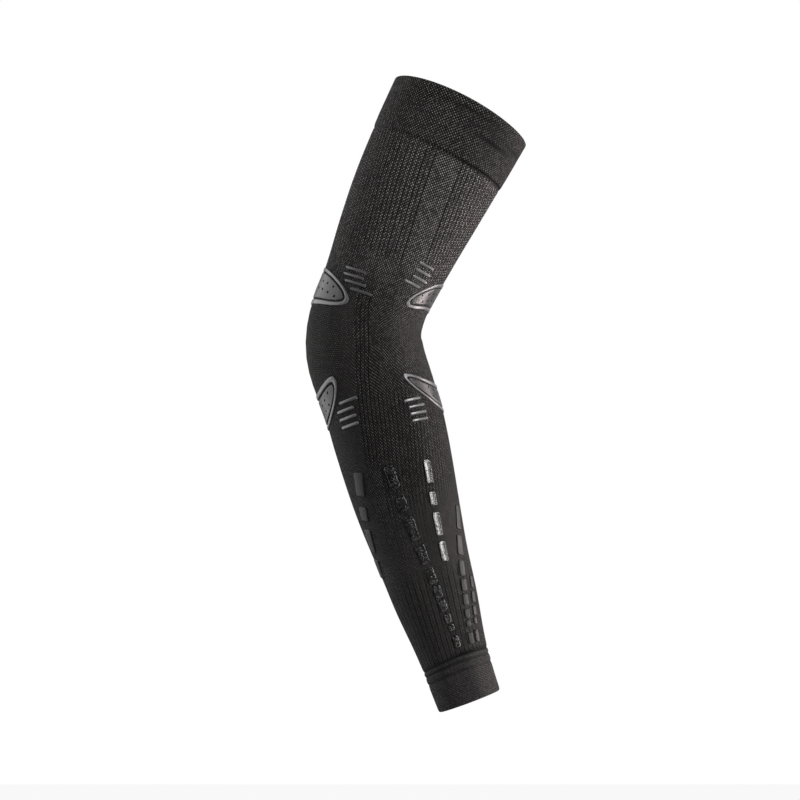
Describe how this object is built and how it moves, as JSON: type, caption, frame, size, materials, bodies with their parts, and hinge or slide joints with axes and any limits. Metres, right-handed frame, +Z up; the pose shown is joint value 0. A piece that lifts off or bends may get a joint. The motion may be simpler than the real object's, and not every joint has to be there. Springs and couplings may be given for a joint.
{
  "type": "arm compression sleeve",
  "caption": "Knitted compression sleeve for an arm, bent at the elbow, with a turned band and cuff, grip pads round the elbow and grip dashes down the forearm.",
  "frame": {"origin": "centre of the elbow, on the axis of the arm that the sleeve is worn on", "axes": "+Z up along a hanging arm, +X towards the inside of the elbow, -Y towards the side that shows the print; the arm bends in the XZ plane"},
  "size_m": [0.1439, 0.091, 0.4134],
  "materials": {
    "body_knit": "matte ribbed knit",
    "welt_knit": "matte fine double knit",
    "silicone_print": "satin printed silicone"
  },
  "bodies": {
    "root": {"upper_band": "welt_knit", "upper_arm_knit": "body_knit", "elbow_knit": "body_knit", "forearm_knit": "body_knit", "wrist_cuff": "welt_knit", "upper_outer_pad_ring": "silicone_print", "upper_outer_pad_core": "silicone_print", "upper_outer_bar_1": "silicone_print", "upper_outer_bar_2": "silicone_print", "upper_outer_bar_3": "silicone_print", "upper_outer_bar_4": "silicone_print", "upper_inner_pad_ring": "silicone_print", "upper_inner_pad_core": "silicone_print", "upper_inner_bar_1": "silicone_print", "upper_inner_bar_2": "silicone_print", "upper_inner_bar_3": "silicone_print", "upper_inner_bar_4": "silicone_print", "lower_outer_pad_ring": "silicone_print", "lower_outer_pad_core": "silicone_print", "lower_outer_bar_1": "silicone_print", "lower_outer_bar_2": "silicone_print", "lower_outer_bar_3": "silicone_print", "lower_outer_bar_4": "silicone_print", "lower_inner_pad_ring": "silicone_print", "lower_inner_pad_core": "silicone_print", "lower_inner_bar_1": "silicone_print", "lower_inner_bar_2": "silicone_print", "lower_inner_bar_3": "silicone_print", "lower_inner_bar_4": "silicone_print", "row_a_dash_1": "silicone_print", "row_a_dash_2": "silicone_print", "row_a_dash_3": "silicone_print", "row_a_dash_4": "silicone_print", "row_b_dash_1": "silicone_print", "row_b_dash_2": "silicone_print", "row_b_dash_3": "silicone_print", "row_b_dash_4": "silicone_print", "row_b_dash_5": "silicone_print", "row_b_dash_6": "silicone_print", "row_b_dash_7": "silicone_print", "row_b_dash_8": "silicone_print", "row_b_dash_9": "silicone_print", "row_b_dash_10": "silicone_print", "row_c_dash_1": "silicone_print", "row_c_dash_2": "silicone_print", "row_c_dash_3": "silicone_print", "row_c_dash_4": "silicone_print", "row_d_dash_3": "silicone_print", "row_d_dash_4": "silicone_print", "row_d_dash_5": "silicone_print", "row_d_dash_6": "silicone_print", "row_d_dash_7": "silicone_print", "row_d_dash_8": "silicone_print", "row_d_dash_9": "silicone_print", "row_d_dash_10": "silicone_print", "row_e_dash_6": "silicone_print", "row_e_dash_7": "silicone_print", "row_e_dash_8": "silicone_print", "row_e_dash_9": "silicone_print", "row_e_dash_10": "silicone_print"}
  },
  "joints": []
}
